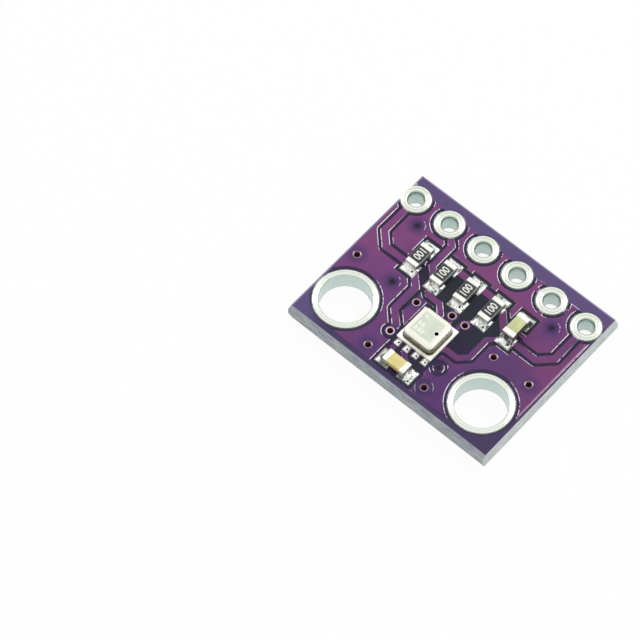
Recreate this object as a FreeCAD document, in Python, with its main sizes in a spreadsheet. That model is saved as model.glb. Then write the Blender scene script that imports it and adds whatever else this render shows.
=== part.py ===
import FreeCAD, Part
import math
import operator
import os
import Sketcher

# A sensor breakout board: a scored laminate with plated holes, copper and solder mask on both faces,
# four chip resistors, two chip capacitors and one metal-lidded humidity and temperature sensor.
# Origin at the middle of the underside, +X along the header row, +Y towards it, +Z up. Millimetres.

doc = FreeCAD.newDocument("SensorBoard")

# Driving dimensions
DIMENSIONS = {
    # Rows of the board from its back edge to its front edge: their sum is its width
    "header_back": 1.45,
    "header_to_chips": 2.895,
    "chips_to_sensor": 3.535,
    "sensor_front": 3.64,
    # From the end header holes to the board's ends, were the drilled pattern not routed off centre
    "header_end": 0.87,
    "pattern_shift": -0.12,
    # Laminate, and the scored edge that flares out below its purple face
    "core_thickness": 1.24,
    "score_depth": 0.40,
    "score_flare": 0.12,
    # Layers, measured up from the laminate's face
    "foil_thickness": 0.035,
    "mask_pool": 0.05,
    "mask_cap": 0.075,
    "ring_rise": 0.08,
    "mask_gap": 0.05,
    # Header holes
    "header_count": 6,
    "header_pitch": 2.54,
    "header_hole": 1.0,
    "header_wall": 0.05,
    "header_rim": 0.42,
    "header_groove_inset": 0.25,
    # Mounting holes, from the board's ends and front edge
    "mount_side": 2.17,
    "mount_front": 2.37,
    "mount_hole": 3.1,
    "mount_wall": 0.06,
    "mount_rim": 0.37,
    "mount_groove_inset": 0.15,
    # Mouth, groove and outer edge of every plated ring. A groove's middle lies inset from the ring's rim.
    "ring_mouth": 0.07,
    "groove_width": 0.05,
    "groove_depth": 0.025,
    "ring_edge": 0.03,
    # Vias
    "via_hole": 0.30,
    "via_wall": 0.05,
    "via_land": 0.60,
    "via_rim": 0.54,
    # Copper drawing
    "clearance": 0.25,
    "track_wide": 0.41,
    "track_narrow": 0.32,
    "bus_width": 0.44,
    "edge_miter": 0.78,
    "track_middle": 0.37,
    "track_thin": 0.26,
    "feed_rise": 0.12,
    "second_lane": 0.93,
    "address_start": 0.25,
    "address_lane": 1.06,
    "address_drop": 0.51,
    "feed_drop": 0.70,
    "feed_miter": 0.15,
    "feed_out": 0.52,
    "supply_start": 0.10,
    "supply_lane": 0.84,
    "supply_miter": 0.50,
    "supply_end": 0.33,
    "front_run": 0.35,
    "link_miter": 0.60,
    "select_miter": 1.20,
    "pour_side": 0.16,
    "pour_back": 0.88,
    "pour_front": 0.34,
    "keepout_west": 1.46,
    "keepout_east": 1.39,
    "keepout_north": 1.62,
    "spoke_width": 0.28,
    "spoke_bite": 0.05,
    # Row of chip lands
    "row_shift": -0.04,
    "row_pitch": 1.78,
    "land_spacing": 1.60,
    "land_across": 0.94,
    "land_along": 0.86,
    # Chip resistors
    "chip_length": 1.58,
    "chip_width": 0.80,
    "resistor_height": 0.45,
    "resistor_band": 0.29,
    "terminal_plate": 0.03,
    "first_shift": -0.03,
    "second_shift": -0.03,
    "third_shift": -0.09,
    "fourth_shift": -0.02,
    "third_askew": 2.0,
    "overcoat_gap": 0.02,
    "overcoat_rise": 0.01,
    # Chip capacitors
    "row_capacitor_height": 0.78,
    "front_capacitor_height": 0.46,
    "capacitor_band": 0.34,
    "chip_bevel": 0.04,
    "capacitor_front": 0.99,
    "front_capacitor_shift": -0.09,
    "front_capacitor_rise": 0.07,
    "row_capacitor_shift": 0.03,
    # Solder
    "solder_film": 0.05,
    "solder_climb": 0.70,
    # Sensor
    "sensor_side": 2.50,
    "sensor_base": 0.24,
    "sensor_pitch": 0.65,
    "sensor_row_gap": 2.30,
    "sensor_row_shift": -0.13,
    "sensor_land_across": 0.35,
    "sensor_land_along": 0.62,
    "lid_side": 2.14,
    "lid_height": 0.69,
    "lid_wall": 0.10,
    "lid_top_corner": 0.19,
    "lid_crown": 0.16,
    "vent_hole": 0.25,
    "vent_shift": 0.62,
    "sensing_die_side": 0.95,
    "sensing_die_height": 0.30,
    "readout_die_gap": 0.12,
    "readout_die_height": 0.10,
}

# Vias: the piece each one serves, its middle measured from that piece's, the net it joins, and
# whether the mask covers it
VIAS = {
    "west": ("left_mount", -1.42, 2.63, "ground", "open"),
    "north_west": ("first_pin", 1.22, -1.31, "ground", "covered"),
    "mid_west": ("left_mount", 1.26, 2.62, "ground", "covered"),
    "sensor_west": ("sensor", -1.87, 1.23, "ground", "open"),
    "south_west": ("front_capacitor", -2.14, -0.02, "ground", "open"),
    "address": ("sensor", -1.79, -1.16, "signal", "open"),
    "data": ("sensor", 0.21, 1.91, "signal", "open"),
    "clock": ("sensor", 1.16, 1.91, "signal", "open"),
    "mid_east": ("right_mount", -1.36, 2.69, "ground", "open"),
    "east": ("right_mount", 1.24, 2.66, "ground", "open"),
    "north_east": ("last_pin", -1.39, -1.38, "ground", "covered"),
    "select": ("sensor", 1.81, -1.16, "signal", "covered"),
    "option": ("front_capacitor", 2.01, -0.01, "signal", "open"),
}
for via, (_, via_x, via_y, _, _) in VIAS.items():
    DIMENSIONS[f"via_{via}_x"] = via_x
    DIMENSIONS[f"via_{via}_y"] = via_y

sheet = doc.addObject("Spreadsheet::Sheet", "Sizes")
for row, (name, number) in enumerate(DIMENSIONS.items(), start=1):
    sheet.set(f"A{row}", name)
    sheet.set(f"B{row}", str(number))
    sheet.setAlias(f"B{row}", name)
doc.recompute()


class Size:
    """A length that keeps its number together with the sheet formula behind it."""

    def __init__(self, number, formula):
        self.number = number
        self.formula = formula

    def __float__(self):
        return self.number

    def __add__(self, other):
        return combined(self, "+", other)

    def __radd__(self, other):
        return combined(other, "+", self)

    def __sub__(self, other):
        return combined(self, "-", other)

    def __rsub__(self, other):
        return combined(other, "-", self)

    def __mul__(self, other):
        return combined(self, "*", other)

    def __rmul__(self, other):
        return combined(other, "*", self)

    def __truediv__(self, other):
        return combined(self, "/", other)


OPERATORS = {"+": operator.add, "-": operator.sub, "*": operator.mul, "/": operator.truediv}


def sized(value):
    return value if isinstance(value, Size) else Size(float(value), str(float(value)))


def combined(left, sign, right):
    left, right = sized(left), sized(right)
    number = OPERATORS[sign](left.number, right.number)
    return Size(number, f"({left.formula} {sign} {right.formula})")


size = {name: Size(float(sheet.get(name)), f"Sizes.{name}") for name in DIMENSIONS}

# The board's outline and the levels of its layers, from the rings' underside at zero upwards
board_length = size["header_pitch"] * (size["header_count"] - 1) + 2 * size["header_end"]
board_width = (size["header_back"] + size["header_to_chips"]
               + size["chips_to_sensor"] + size["sensor_front"])
core_bottom = size["ring_rise"]
core_top = core_bottom + size["core_thickness"]
board_top = core_top + size["ring_rise"]
land_top = core_top + size["foil_thickness"]
chip_bottom = land_top + size["solder_film"]

parts = []


# Helpers for objects of the document

def keep(item, label):
    item.Label = label
    parts.append(item)
    return item


def bind(item, **sizes):
    for name, value in sizes.items():
        item.setExpression(name, sized(value).formula)
    return item


def put(item, x=0, y=0, z=0, turn=0):
    if turn:
        item.Placement.Rotation = FreeCAD.Rotation(FreeCAD.Vector(0, 0, 1), turn)
    for axis, value in (("x", x), ("y", y), ("z", z)):
        item.setExpression(f"Placement.Base.{axis}", sized(value).formula)
    return item


def block(name, length, width, height, x, y, z):
    """A box whose middle stands over x, y and whose underside is at z."""
    box = bind(doc.addObject("Part::Box", name), Length=length, Width=width, Height=height)
    return put(box, x - length / 2, y - width / 2, z)


def rod(name, radius, height, x, y, z):
    cylinder = bind(doc.addObject("Part::Cylinder", name), Radius=radius, Height=height)
    return put(cylinder, x, y, z)


def fused(name, items):
    union = doc.addObject("Part::MultiFuse", name)
    union.Shapes = items
    return union


def cut(name, base, tool):
    difference = doc.addObject("Part::Cut", name)
    difference.Base = base
    difference.Tool = tool
    return difference


def common(name, base, tool):
    overlap = doc.addObject("Part::Common", name)
    overlap.Base = base
    overlap.Tool = tool
    return overlap


def drawn_outline(body, name, role, corners, level=0):
    """A closed sketch on one of the body's own planes, each corner held by two sizes."""
    sketch = body.newObject("Sketcher::SketchObject", name)
    plane = [feature for feature in body.Origin.OriginFeatures if feature.Role == role][0]
    sketch.AttachmentSupport = [(plane, "")]
    sketch.MapMode = "FlatFace"
    sketch.setExpression("AttachmentOffset.Base.z", sized(level).formula)
    points = [FreeCAD.Vector(float(u), float(v), 0) for u, v in corners]
    count = len(points)
    for index in range(count):
        sketch.addGeometry(Part.LineSegment(points[index], points[(index + 1) % count]), False)
    for index in range(count):
        sketch.addConstraint(Sketcher.Constraint("Coincident", index, 2, (index + 1) % count, 1))
    for index, corner in enumerate(corners):
        for kind, value in zip(("DistanceX", "DistanceY"), corner):
            held = sketch.addConstraint(Sketcher.Constraint(kind, index, 1, float(value)))
            sketch.setExpression(f"Constraints[{held}]", sized(value).formula)
    return sketch


def rectangle(length, width):
    return [(length / -2, width / -2), (length / 2, width / -2),
            (length / 2, width / 2), (length / -2, width / 2)]


# Helpers for the flat copper and mask drawings, in plain numbers read from the sheet

def mm(name):
    return float(size[name])


def flat_box(x, y, length, width):
    corner = FreeCAD.Vector(x - length / 2, y - width / 2, 0)
    return Part.makePlane(length, width, corner)


def disc(x, y, radius):
    return Part.Face(Part.Wire(Part.makeCircle(radius, FreeCAD.Vector(x, y, 0))))


def stretch(start, end, width):
    """One straight stretch of track with round ends."""
    start, end = FreeCAD.Vector(*start, 0), FreeCAD.Vector(*end, 0)
    along = (end - start).normalize()
    side = FreeCAD.Vector(-along.y, along.x, 0) * (width / 2)
    tip = along * (width / 2)
    sides = [Part.makeLine(start - side, end - side), Part.makeLine(end + side, start + side)]
    caps = [Part.Arc(end - side, end + tip, end + side).toShape(),
            Part.Arc(start + side, start - tip, start - side).toShape()]
    return Part.Face(Part.Wire([sides[0], caps[0], sides[1], caps[1]]))


def joined(faces):
    """One flat drawing: faces that overlap or share an edge become one face."""
    faces = list(faces)
    pieces = faces[0].multiFuse(faces[1:]).Faces if len(faces) > 1 else faces
    return Part.makeCompound(Part.makeShell(pieces).removeSplitter().Faces)


def track(points, width):
    return joined(stretch(a, b, width) for a, b in zip(points, points[1:]))


def raised(flat, bottom, top):
    solid = flat.extrude(FreeCAD.Vector(0, 0, top - bottom))
    solid.translate(FreeCAD.Vector(0, 0, bottom))
    return solid


# Places that several pieces share
pattern_x = size["pattern_shift"]
header_y = board_width / 2 - size["header_back"]
row_y = header_y - size["header_to_chips"]
sensor_x, sensor_y = pattern_x, row_y - size["chips_to_sensor"]
mount_y = size["mount_front"] - board_width / 2
capacitor_y = size["capacitor_front"] - board_width / 2


def spread(middle, pitch, count):
    """Places of a row of equal steps about its middle."""
    return [middle + pitch * (index - (sized(count) - 1) / 2) for index in range(round(float(count)))]


header_row = [(x, header_y) for x in spread(pattern_x, size["header_pitch"], size["header_count"])]
mount_row = [(x, mount_y) for x in spread(pattern_x, board_length - 2 * size["mount_side"], 2)]
row_labels = ("resistor_1", "resistor_2", "resistor_3", "resistor_4", "row_capacitor")
row_places = spread(pattern_x + size["row_shift"], size["row_pitch"], len(row_labels))
low_land_y, high_land_y = spread(row_y, size["land_spacing"], 2)
sensor_places = spread(sensor_x, size["sensor_pitch"], 4)
sensor_rows = spread(sensor_y + size["sensor_row_shift"], size["sensor_row_gap"], 2)
anchors = {"first_pin": header_row[0], "last_pin": header_row[-1], "left_mount": mount_row[0],
           "right_mount": mount_row[1], "sensor": (sensor_x, sensor_y),
           "front_capacitor": (pattern_x, capacitor_y)}
via_places = {}
for via, (anchor, _, _, _, _) in VIAS.items():
    x, y = anchors[anchor]
    via_places[via] = (x + size[f"via_{via}_x"], y + size[f"via_{via}_y"])

# Plated rings, across their lands
header_land = size["header_hole"] + 2 * size["header_rim"]
mount_land = size["mount_hole"] + 2 * size["mount_rim"]

# Substrate: glass-fibre laminate, wider at its middle where the score lines meet the broken web
laminate = doc.addObject("PartDesign::Body", "Laminate")
levels = [(core_bottom, 0), (core_bottom + size["score_depth"], 1),
          (core_top - size["score_depth"], 1), (core_top, 0)]
sections = []
for index, (level, flared) in enumerate(levels):
    flare = size["score_flare"] * (2 * flared)
    outline = rectangle(board_length + flare, board_width + flare)
    sections.append(drawn_outline(laminate, f"Laminate_level_{index}", "XY_Plane", outline, level))
laminate_loft = laminate.newObject("PartDesign::AdditiveLoft", "Laminate_loft")
laminate_loft.Profile = sections[0]
laminate_loft.Sections = sections[1:]
laminate_loft.Ruled = True
drills = []
for index, (x, y) in enumerate(header_row):
    radius = size["header_hole"] / 2 + size["header_wall"]
    drills.append(rod(f"Header_drill_{index + 1}", radius, board_top, x, y, 0))
for index, (x, y) in enumerate(mount_row):
    radius = size["mount_hole"] / 2 + size["mount_wall"]
    drills.append(rod(f"Mount_drill_{index + 1}", radius, board_top, x, y, 0))
for via, (x, y) in via_places.items():
    drills.append(rod(f"Via_drill_{via}", size["via_hole"] / 2 + size["via_wall"], board_top, x, y, 0))
keep(cut("Substrate", laminate, fused("Drills", drills)), "substrate")


# Plated rings: a barrel through the board with a grooved land on each face, trimmed at the board's edge

def plated_ring(name, label, x, y, hole, wall, land, inset):
    body = doc.addObject("PartDesign::Body", name)
    bore = hole / 2
    drill = bore + wall
    rim = land / 2
    middle = rim - inset
    low, high = core_bottom, core_top
    mouth, edge = size["ring_mouth"], size["ring_edge"]
    dip, half = size["groove_depth"], size["groove_width"] / 2
    profile = [(bore, mouth), (bore + mouth, 0), (middle - half, 0), (middle, dip), (middle + half, 0),
               (rim - edge, 0), (rim, edge), (rim, low), (drill, low), (drill, high), (rim, high),
               (rim, board_top - edge), (rim - edge, board_top), (middle + half, board_top),
               (middle, board_top - dip), (middle - half, board_top), (bore + mouth, board_top),
               (bore, board_top - mouth)]
    sketch = drawn_outline(body, f"{name}_profile", "XZ_Plane", profile)
    turned = body.newObject("PartDesign::Revolution", f"{name}_turned")
    turned.Profile = sketch
    turned.ReferenceAxis = (sketch, ["V_Axis"])
    turned.Angle = 360
    put(body, x, y, 0)
    trim = block(f"{name}_trim", board_length, board_width, board_top, sized(0), sized(0), 0)
    return keep(common(f"{name}_trimmed", body, trim), label)


for index, (x, y) in enumerate(header_row):
    plated_ring(f"Header_{index + 1}", f"header_ring_{index + 1}", x, y, size["header_hole"],
                size["header_wall"], header_land, size["header_groove_inset"])
for side, (x, y) in zip(("left", "right"), mount_row):
    plated_ring(f"Mount_{side}", f"mounting_ring_{side}", x, y, size["mount_hole"],
                size["mount_wall"], mount_land, size["mount_groove_inset"])

# Vias: thin plated barrels, with a tinned rim on each face where the mask leaves them open
barrels = []
for via, (x, y) in via_places.items():
    foil_rise = mm("foil_thickness") if VIAS[via][-1] == "covered" else mm("ring_rise")
    low, high = float(core_bottom) - foil_rise, float(core_top) + foil_rise
    inner, outer = mm("via_hole") / 2, mm("via_hole") / 2 + mm("via_wall")
    barrel = raised(disc(0, 0, outer).cut(disc(0, 0, inner)), low, high)
    if VIAS[via][-1] == "open":
        rim = disc(0, 0, mm("via_rim") / 2).cut(disc(0, 0, inner))
        foil_low = float(core_bottom) - mm("foil_thickness")
        foil_high = float(core_top) + mm("foil_thickness")
        barrel = barrel.fuse([raised(rim, low, foil_low), raised(rim, foil_high, high)]).removeSplitter()
    barrel.translate(FreeCAD.Vector(float(x), float(y), 0))
    barrels.append(barrel)
vias = doc.addObject("Part::Feature", "Vias")
vias.Shape = Part.makeCompound(barrels)
keep(vias, "vias")


# Places of the copper drawing, in plain numbers

def flat(place):
    return float(place[0]), float(place[1])


pins = [flat(place) for place in header_row]
rings = [flat(place) for place in mount_row]
pin_reach, ring_reach = float(header_land) / 2, float(mount_land) / 2
via_at = {via: flat(place) for via, place in via_places.items()}
chip_x = [float(x) for x in row_places]
pad_x = [float(x) for x in sensor_places]
front_y, back_y = (float(y) for y in sensor_rows)
low_y, high_y = float(low_land_y), float(high_land_y)
front_chip_y = float(capacitor_y)
front_land_x = [float(x) for x in spread(pattern_x, size["land_spacing"], 2)]
half_length, half_width = float(board_length) / 2, float(board_width) / 2
ground_pin = pins[4]

row_lands = [(x, y, mm("land_across"), mm("land_along")) for x in chip_x for y in (low_y, high_y)]
front_lands = [(x, front_chip_y, mm("land_along"), mm("land_across")) for x in front_land_x]
sensor_lands = [(x, y, mm("sensor_land_across"), mm("sensor_land_along"))
                for y in (front_y, back_y) for x in pad_x]
top_lands = row_lands + front_lands + sensor_lands


def edge_run(pin, land_x):
    """Straight down from an end pin, a diagonal, then straight in to a lower land of the row."""
    run_y = low_y + mm("feed_rise")
    miter = mm("edge_miter")
    toward = math.copysign(miter, land_x - pin[0])
    return [pin, (pin[0], run_y + miter), (pin[0] + toward, run_y), (land_x, run_y)]


def second_pin_run():
    """Past the first resistor to the lower land of the second."""
    lane = chip_x[1] - mm("second_lane")
    return [pins[1], (lane, pins[1][1] - (lane - pins[1][0])), (lane, low_y + mm("second_lane")),
            (chip_x[1], low_y)]


def address_run():
    """From the first resistor round the sensor's left to the address via."""
    x, y = via_at["address"]
    start = chip_x[0] + mm("address_start")
    lane = chip_x[0] + mm("address_lane")
    turn_y = y + mm("address_drop")
    bend_y = low_y - (lane - start)
    return [(start, low_y), (lane, bend_y), (lane, turn_y + (x - lane)), (x, turn_y), (x, y)]


def feed_run():
    """From the second resistor to the sensor's second back land."""
    y = low_y - mm("feed_drop")
    first, last = mm("feed_miter"), mm("feed_out")
    return [(chip_x[1], low_y), (chip_x[1], y + first), (chip_x[1] + first, y), (pad_x[1] - last, y),
            (pad_x[1], y - last), (pad_x[1], back_y)]


def bus_line_run(chip, via, pad):
    """From a resistor's lower land through its via to a back land of the sensor."""
    x, y = via_at[via]
    return [(chip_x[chip], low_y), (x, low_y - abs(x - chip_x[chip])), (x, y),
            (pad_x[pad], y - abs(pad_x[pad] - x)), (pad_x[pad], back_y)]


def supply_bus():
    """Along the upper lands of three resistors, then down to the row capacitor."""
    turn = chip_x[3] + mm("feed_miter") / 2
    return [(chip_x[1], high_y), (turn, high_y), (turn + high_y - low_y, low_y), (chip_x[4], low_y)]


def supply_run():
    """From the row capacitor round to the sensor's right, then under it to its last front land."""
    start = chip_x[4] - mm("supply_start")
    lane = chip_x[4] - mm("supply_lane")
    y, miter, end = float(sensor_y), mm("supply_miter"), mm("supply_end")
    return [(start, low_y), (lane, low_y - (start - lane)), (lane, y + miter), (lane - miter, y),
            (pad_x[3] + end, y), (pad_x[3], y - end), (pad_x[3], front_y)]


top_tracks = [
    (edge_run(pins[0], chip_x[0]), mm("track_wide")),
    (edge_run(pins[-1], chip_x[4]), mm("track_wide")),
    (second_pin_run(), mm("track_middle")),
    (address_run(), mm("track_wide")),
    (feed_run(), mm("track_narrow")),
    (bus_line_run(2, "data", 2), mm("track_thin")),
    (bus_line_run(3, "clock", 3), mm("track_thin")),
    (supply_bus(), mm("bus_width")),
    (supply_run(), mm("track_narrow")),
    ([(pad_x[0], front_y), (pad_x[0], front_chip_y)], mm("track_narrow")),
    ([(pad_x[1], front_y), (pad_x[1], front_y - mm("front_run")), (front_land_x[1], front_chip_y)],
     mm("track_narrow")),
]


def down_run(pin, via):
    """Straight down from a pin, then a diagonal to its via."""
    x, y = via_at[via]
    return [pin, (pin[0], y + abs(x - pin[0])), (x, y)]


def option_run():
    x, y = via_at["option"]
    start_x, start_y = via_at["address"]
    miter = mm("link_miter")
    return [(start_x, start_y), (start_x, y + miter), (start_x + miter, y), (x, y)]


def select_run():
    x, y = via_at["select"]
    pin = pins[-1]
    miter = mm("select_miter")
    climb = pin[1] - miter - (pin[0] - x)
    return [(x, y), (x, climb), (pin[0], pin[1] - miter), pin]


bottom_runs = (down_run(pins[2], "data"), down_run(pins[3], "clock"), option_run(), select_run())
bottom_tracks = [(points, mm("track_wide")) for points in bottom_runs]

# The ground pour stops short of a zone under the sensor and the front capacitor
zone_corner = FreeCAD.Vector(float(sensor_x) - mm("keepout_west"), -half_width, 0)
sensor_zone = Part.makePlane(mm("keepout_west") + mm("keepout_east"),
                             float(sensor_y) + mm("keepout_north") + half_width, zone_corner)


def net_vias(net):
    return [via_at[via] for via, (*_, joins, _) in VIAS.items() if joins == net]


def vias_left(finish):
    return [via_at[via] for via, (*_, cover) in VIAS.items() if cover == finish]


def grown(land, margin):
    x, y, length, width = land
    return flat_box(x, y, length + 2 * margin, width + 2 * margin)


def ground_pour(tracks, lands, keepouts):
    """The sheet of copper left between everything else, where a ground via reaches it."""
    gap = mm("clearance")
    left, right = mm("pour_side") - half_length, half_length - mm("pour_side")
    front, back = mm("pour_front") - half_width, half_width - mm("pour_back")
    clear = [track(points, width + 2 * gap) for points, width in tracks]
    clear += [grown(land, gap) for land in lands]
    clear += [disc(x, y, mm("via_land") / 2 + gap) for x, y in net_vias("signal")]
    clear += [disc(x, y, pin_reach + gap) for x, y in pins]
    clear += [disc(x, y, ring_reach + gap) for x, y in rings]
    whole = Part.makePlane(right - left, back - front, FreeCAD.Vector(left, front, 0))
    islands = whole.cut(clear + keepouts).Faces
    reached = [FreeCAD.Vector(x, y, 0) for x, y in net_vias("ground")]
    return [island for island in islands if any(island.isInside(point, 1e-3, True) for point in reached)]


def copper_drawing(tracks, lands, keepouts):
    """All copper of one face, with the plated holes left out."""
    drawn = [track(points, width) for points, width in tracks]
    drawn += [grown(land, 0) for land in lands]
    drawn += [disc(x, y, mm("via_land") / 2) for x, y in net_vias("signal")]
    x, y = ground_pin
    reach = pin_reach + mm("clearance") + mm("spoke_bite")
    spokes = [flat_box(x, y, 2 * reach, mm("spoke_width")),
              flat_box(x, y - reach / 2, mm("spoke_width"), reach)]
    holes = [disc(x, y, pin_reach) for x, y in pins]
    holes += [disc(x, y, ring_reach) for x, y in rings]
    holes += [disc(x, y, mm("via_hole") / 2 + mm("via_wall")) for x, y in via_at.values()]
    return joined(drawn + ground_pour(tracks, lands, keepouts) + spokes).cut(holes)


def layer_pair(copper, lands):
    """One face's foil, and the mask that pools between its edges and caps over it, from zero upwards."""
    foil = raised(copper, 0, mm("foil_thickness"))
    openings = [grown(land, mm("mask_gap")) for land in lands]
    openings += [disc(x, y, pin_reach + mm("mask_gap")) for x, y in pins]
    openings += [disc(x, y, ring_reach + mm("mask_gap")) for x, y in rings]
    openings += [disc(x, y, mm("via_rim") / 2) for x, y in vias_left("open")]
    face = flat_box(0, 0, 2 * half_length, 2 * half_width)
    pool = raised(face.cut(openings), 0, mm("mask_pool"))
    covers = [disc(x, y, mm("via_land") / 2) for x, y in vias_left("covered")]
    cap = raised(joined(copper.Faces + covers).cut(openings), 0, mm("mask_cap"))
    barrel = mm("via_hole") / 2 + mm("via_wall")
    barrels = [raised(disc(x, y, barrel), 0, mm("foil_thickness")) for x, y in vias_left("covered")]
    return foil, pool.fuse(cap).cut([foil] + barrels)


def keep_layer(label, shape, level, facing_down):
    if facing_down:
        shape = shape.mirror(FreeCAD.Vector(0, 0, 0), FreeCAD.Vector(0, 0, 1))
    layer = doc.addObject("Part::Feature", label)
    layer.Shape = shape
    layer.Placement = FreeCAD.Placement(FreeCAD.Vector(0, 0, float(level)), FreeCAD.Rotation())
    keep(layer, label)


foil, mask = layer_pair(copper_drawing(top_tracks, top_lands, [sensor_zone]), top_lands)
keep_layer("top_copper", foil, core_top, False)
keep_layer("top_mask", mask, core_top, False)
foil, mask = layer_pair(copper_drawing(bottom_tracks, [], []), [])
keep_layer("bottom_copper", foil, core_bottom, True)
keep_layer("bottom_mask", mask, core_bottom, True)


# Pieces built from boxes in a body of their own, about the middle of their underside

def add_box(body, kind, name, length, width, height, level=0):
    box = body.newObject(f"PartDesign::{kind}Box", name)
    bind(box, Length=length, Width=width, Height=height)
    return put(box, length / -2, width / -2, level)


def soften(body, kind, name, base, amount, wanted=lambda edge: True):
    """Rounds or bevels the edges of the base feature that the test picks out."""
    doc.recompute()
    edges = [f"Edge{number}" for number, edge in enumerate(base.Shape.Edges, start=1) if wanted(edge)]
    softened = body.newObject(f"PartDesign::{kind}", name)
    softened.Base = (base, edges)
    return bind(softened, **{{"Fillet": "Radius", "Chamfer": "Size"}[kind]: amount})


def box_body(name, label, length, width, height, x, y, z, turn=0):
    body = doc.addObject("PartDesign::Body", name)
    add_box(body, "Additive", f"{name}_block", length, width, height)
    put(body, x, y, z, turn)
    return keep(body, label)


def terminals(name, label, length, width, height, band, core, x, y, turn):
    """The two metal ends of a chip: a bevelled block less its middle and less the ceramic in it."""
    core_length, core_width, core_height = core
    body = doc.addObject("PartDesign::Body", name)
    outer = add_box(body, "Additive", f"{name}_outer", length, width, height)
    soften(body, "Chamfer", f"{name}_bevelled", outer, size["chip_bevel"])
    add_box(body, "Subtractive", f"{name}_middle", length - 2 * band, 2 * width, 3 * height, height * -1)
    add_box(body, "Subtractive", f"{name}_core", core_length, core_width, core_height,
            size["terminal_plate"])
    put(body, x, y, chip_bottom, turn)
    return keep(body, label)


# Solder: it covers its land and climbs the end of the chip in a hollow curve. Each step gives the
# share of the climb, the share of the way in from the land to the chip's end, and how far it stands
# off that end.
SOLDER_STEPS = ((0.0, 0.0, 0.0), (0.12, 0.35, 0.05), (0.45, 0.8, 0.04), (1.0, 1.0, 0.02))


def solder_joint(land, end, climb):
    """Land is a flat box, end the chip's footprint over it, both as (x, y, length, width)."""
    base, top = float(land_top), float(chip_bottom)
    wires = []
    for rise, inward, margin in SOLDER_STEPS:
        x, y, length, width = (a * (1 - inward) + b * inward for a, b in zip(land, end))
        length, width = length / 2 + margin * inward, width / 2 + margin * inward
        z = base + (top + climb - base) * rise
        corners = ((-1, -1), (1, -1), (1, 1), (-1, 1), (-1, -1))
        points = [FreeCAD.Vector(x + i * length, y + j * width, z) for i, j in corners]
        wires.append(Part.makePolygon(points))
    return Part.makeLoft(wires, True, True)


def solder_pair(label, lands, length, width, height, band, x, y, turn):
    """The two joints of one chip that lies along X before it is turned."""
    chip = Part.makeBox(length, width, height, FreeCAD.Vector(-length / 2, -width / 2, 0))
    chip.rotate(FreeCAD.Vector(0, 0, 0), FreeCAD.Vector(0, 0, 1), turn)
    chip.translate(FreeCAD.Vector(x, y, float(chip_bottom)))
    reach = (length - band) / 2
    angle = math.radians(turn)
    quarter = abs(math.sin(angle)) > 0.5
    end_size = (width, band) if quarter else (band, width)
    joints = []
    for land, side in zip(lands, (-1, 1)):
        end = (x + side * reach * math.cos(angle), y + side * reach * math.sin(angle), *end_size)
        joints.append(solder_joint(land, end, mm("solder_climb") * height).cut(chip))
    solder = doc.addObject("Part::Feature", label)
    solder.Shape = Part.makeCompound(joints)
    keep(solder, label)


def chip(label, lands, height, band, core_width, x, y, turn):
    """A chip's ceramic, terminals and solder, at x, y and turned from lying along X."""
    length, width, plate = size["chip_length"], size["chip_width"], size["terminal_plate"]
    core = (length - 2 * plate, core_width, height - 2 * plate)
    name = label.title()
    box_body(f"{name}_ceramic", f"{label}_ceramic", *core, x, y, chip_bottom + plate, turn)
    terminals(f"{name}_ends", f"{label}_terminals", length, width, height, band, core, x, y, turn)
    solder_pair(f"{label}_solder", lands, float(length), float(width), float(height), float(band),
                float(x), float(y), turn)


# Chip resistors, in a row behind the sensor: the third sits a little askew, as placed
chip_width, plate = size["chip_width"], size["terminal_plate"]
bare = size["chip_length"] - 2 * (size["resistor_band"] + size["overcoat_gap"])
resistor_shifts = ("first_shift", "second_shift", "third_shift", "fourth_shift")
for index, (label, shift) in enumerate(zip(row_labels, resistor_shifts)):
    lands = row_lands[2 * index:2 * index + 2]
    x = row_places[index] + size[shift]
    turn = 90 + (mm("third_askew") if shift == "third_shift" else 0)
    chip(label, lands, size["resistor_height"], size["resistor_band"], chip_width, x, row_y, turn)
    box_body(f"{label}_glaze", f"{label}_overcoat", bare, chip_width - 2 * size["overcoat_gap"],
             plate + size["overcoat_rise"], x, row_y, chip_bottom + size["resistor_height"] - plate, turn)

# Chip capacitors: one ends the row, a flatter one lies in front of the sensor
core_width = chip_width - 2 * plate
chip(row_labels[-1], row_lands[-2:], size["row_capacitor_height"], size["capacitor_band"], core_width,
     row_places[-1] + size["row_capacitor_shift"], row_y, 90)
chip("front_capacitor", front_lands, size["front_capacitor_height"], size["capacitor_band"], core_width,
     pattern_x + size["front_capacitor_shift"], capacitor_y + size["front_capacitor_rise"], 0)

# Sensor: a laminate base on eight solder joints, two dies on it and a drawn metal lid over them
base_top = chip_bottom + size["sensor_base"]
lid_side, lid_height, lid_wall = size["lid_side"], size["lid_height"], size["lid_wall"]
readout_side = lid_side - 2 * (lid_wall + size["readout_die_gap"])
box_body("Base", "sensor_base", size["sensor_side"], size["sensor_side"], size["sensor_base"],
         sensor_x, sensor_y, chip_bottom)
box_body("Readout", "readout_die", readout_side, readout_side, size["readout_die_height"],
         sensor_x, sensor_y, base_top)
box_body("Sensing", "sensing_die", size["sensing_die_side"], size["sensing_die_side"],
         size["sensing_die_height"], sensor_x, sensor_y, base_top + size["readout_die_height"])

# The lid is drawn from sheet: the punch follows the die one wall further in, so its rounds are smaller
lid_corner = size["lid_top_corner"] + size["lid_crown"]


def drawing_form(name, side, height, corner, crown):
    """The block that one side of the drawn sheet lies against."""
    body = doc.addObject("PartDesign::Body", name)
    form = add_box(body, "Additive", f"{name}_block", side, side, height)
    corners = soften(body, "Fillet", f"{name}_corners", form, corner,
                     lambda edge: edge.BoundBox.ZLength > float(height) / 2)
    soften(body, "Fillet", f"{name}_crown", corners, crown,
           lambda edge: edge.CenterOfMass.z > float(height) - 1e-6)
    return put(body, sensor_x, sensor_y, base_top)


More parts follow.
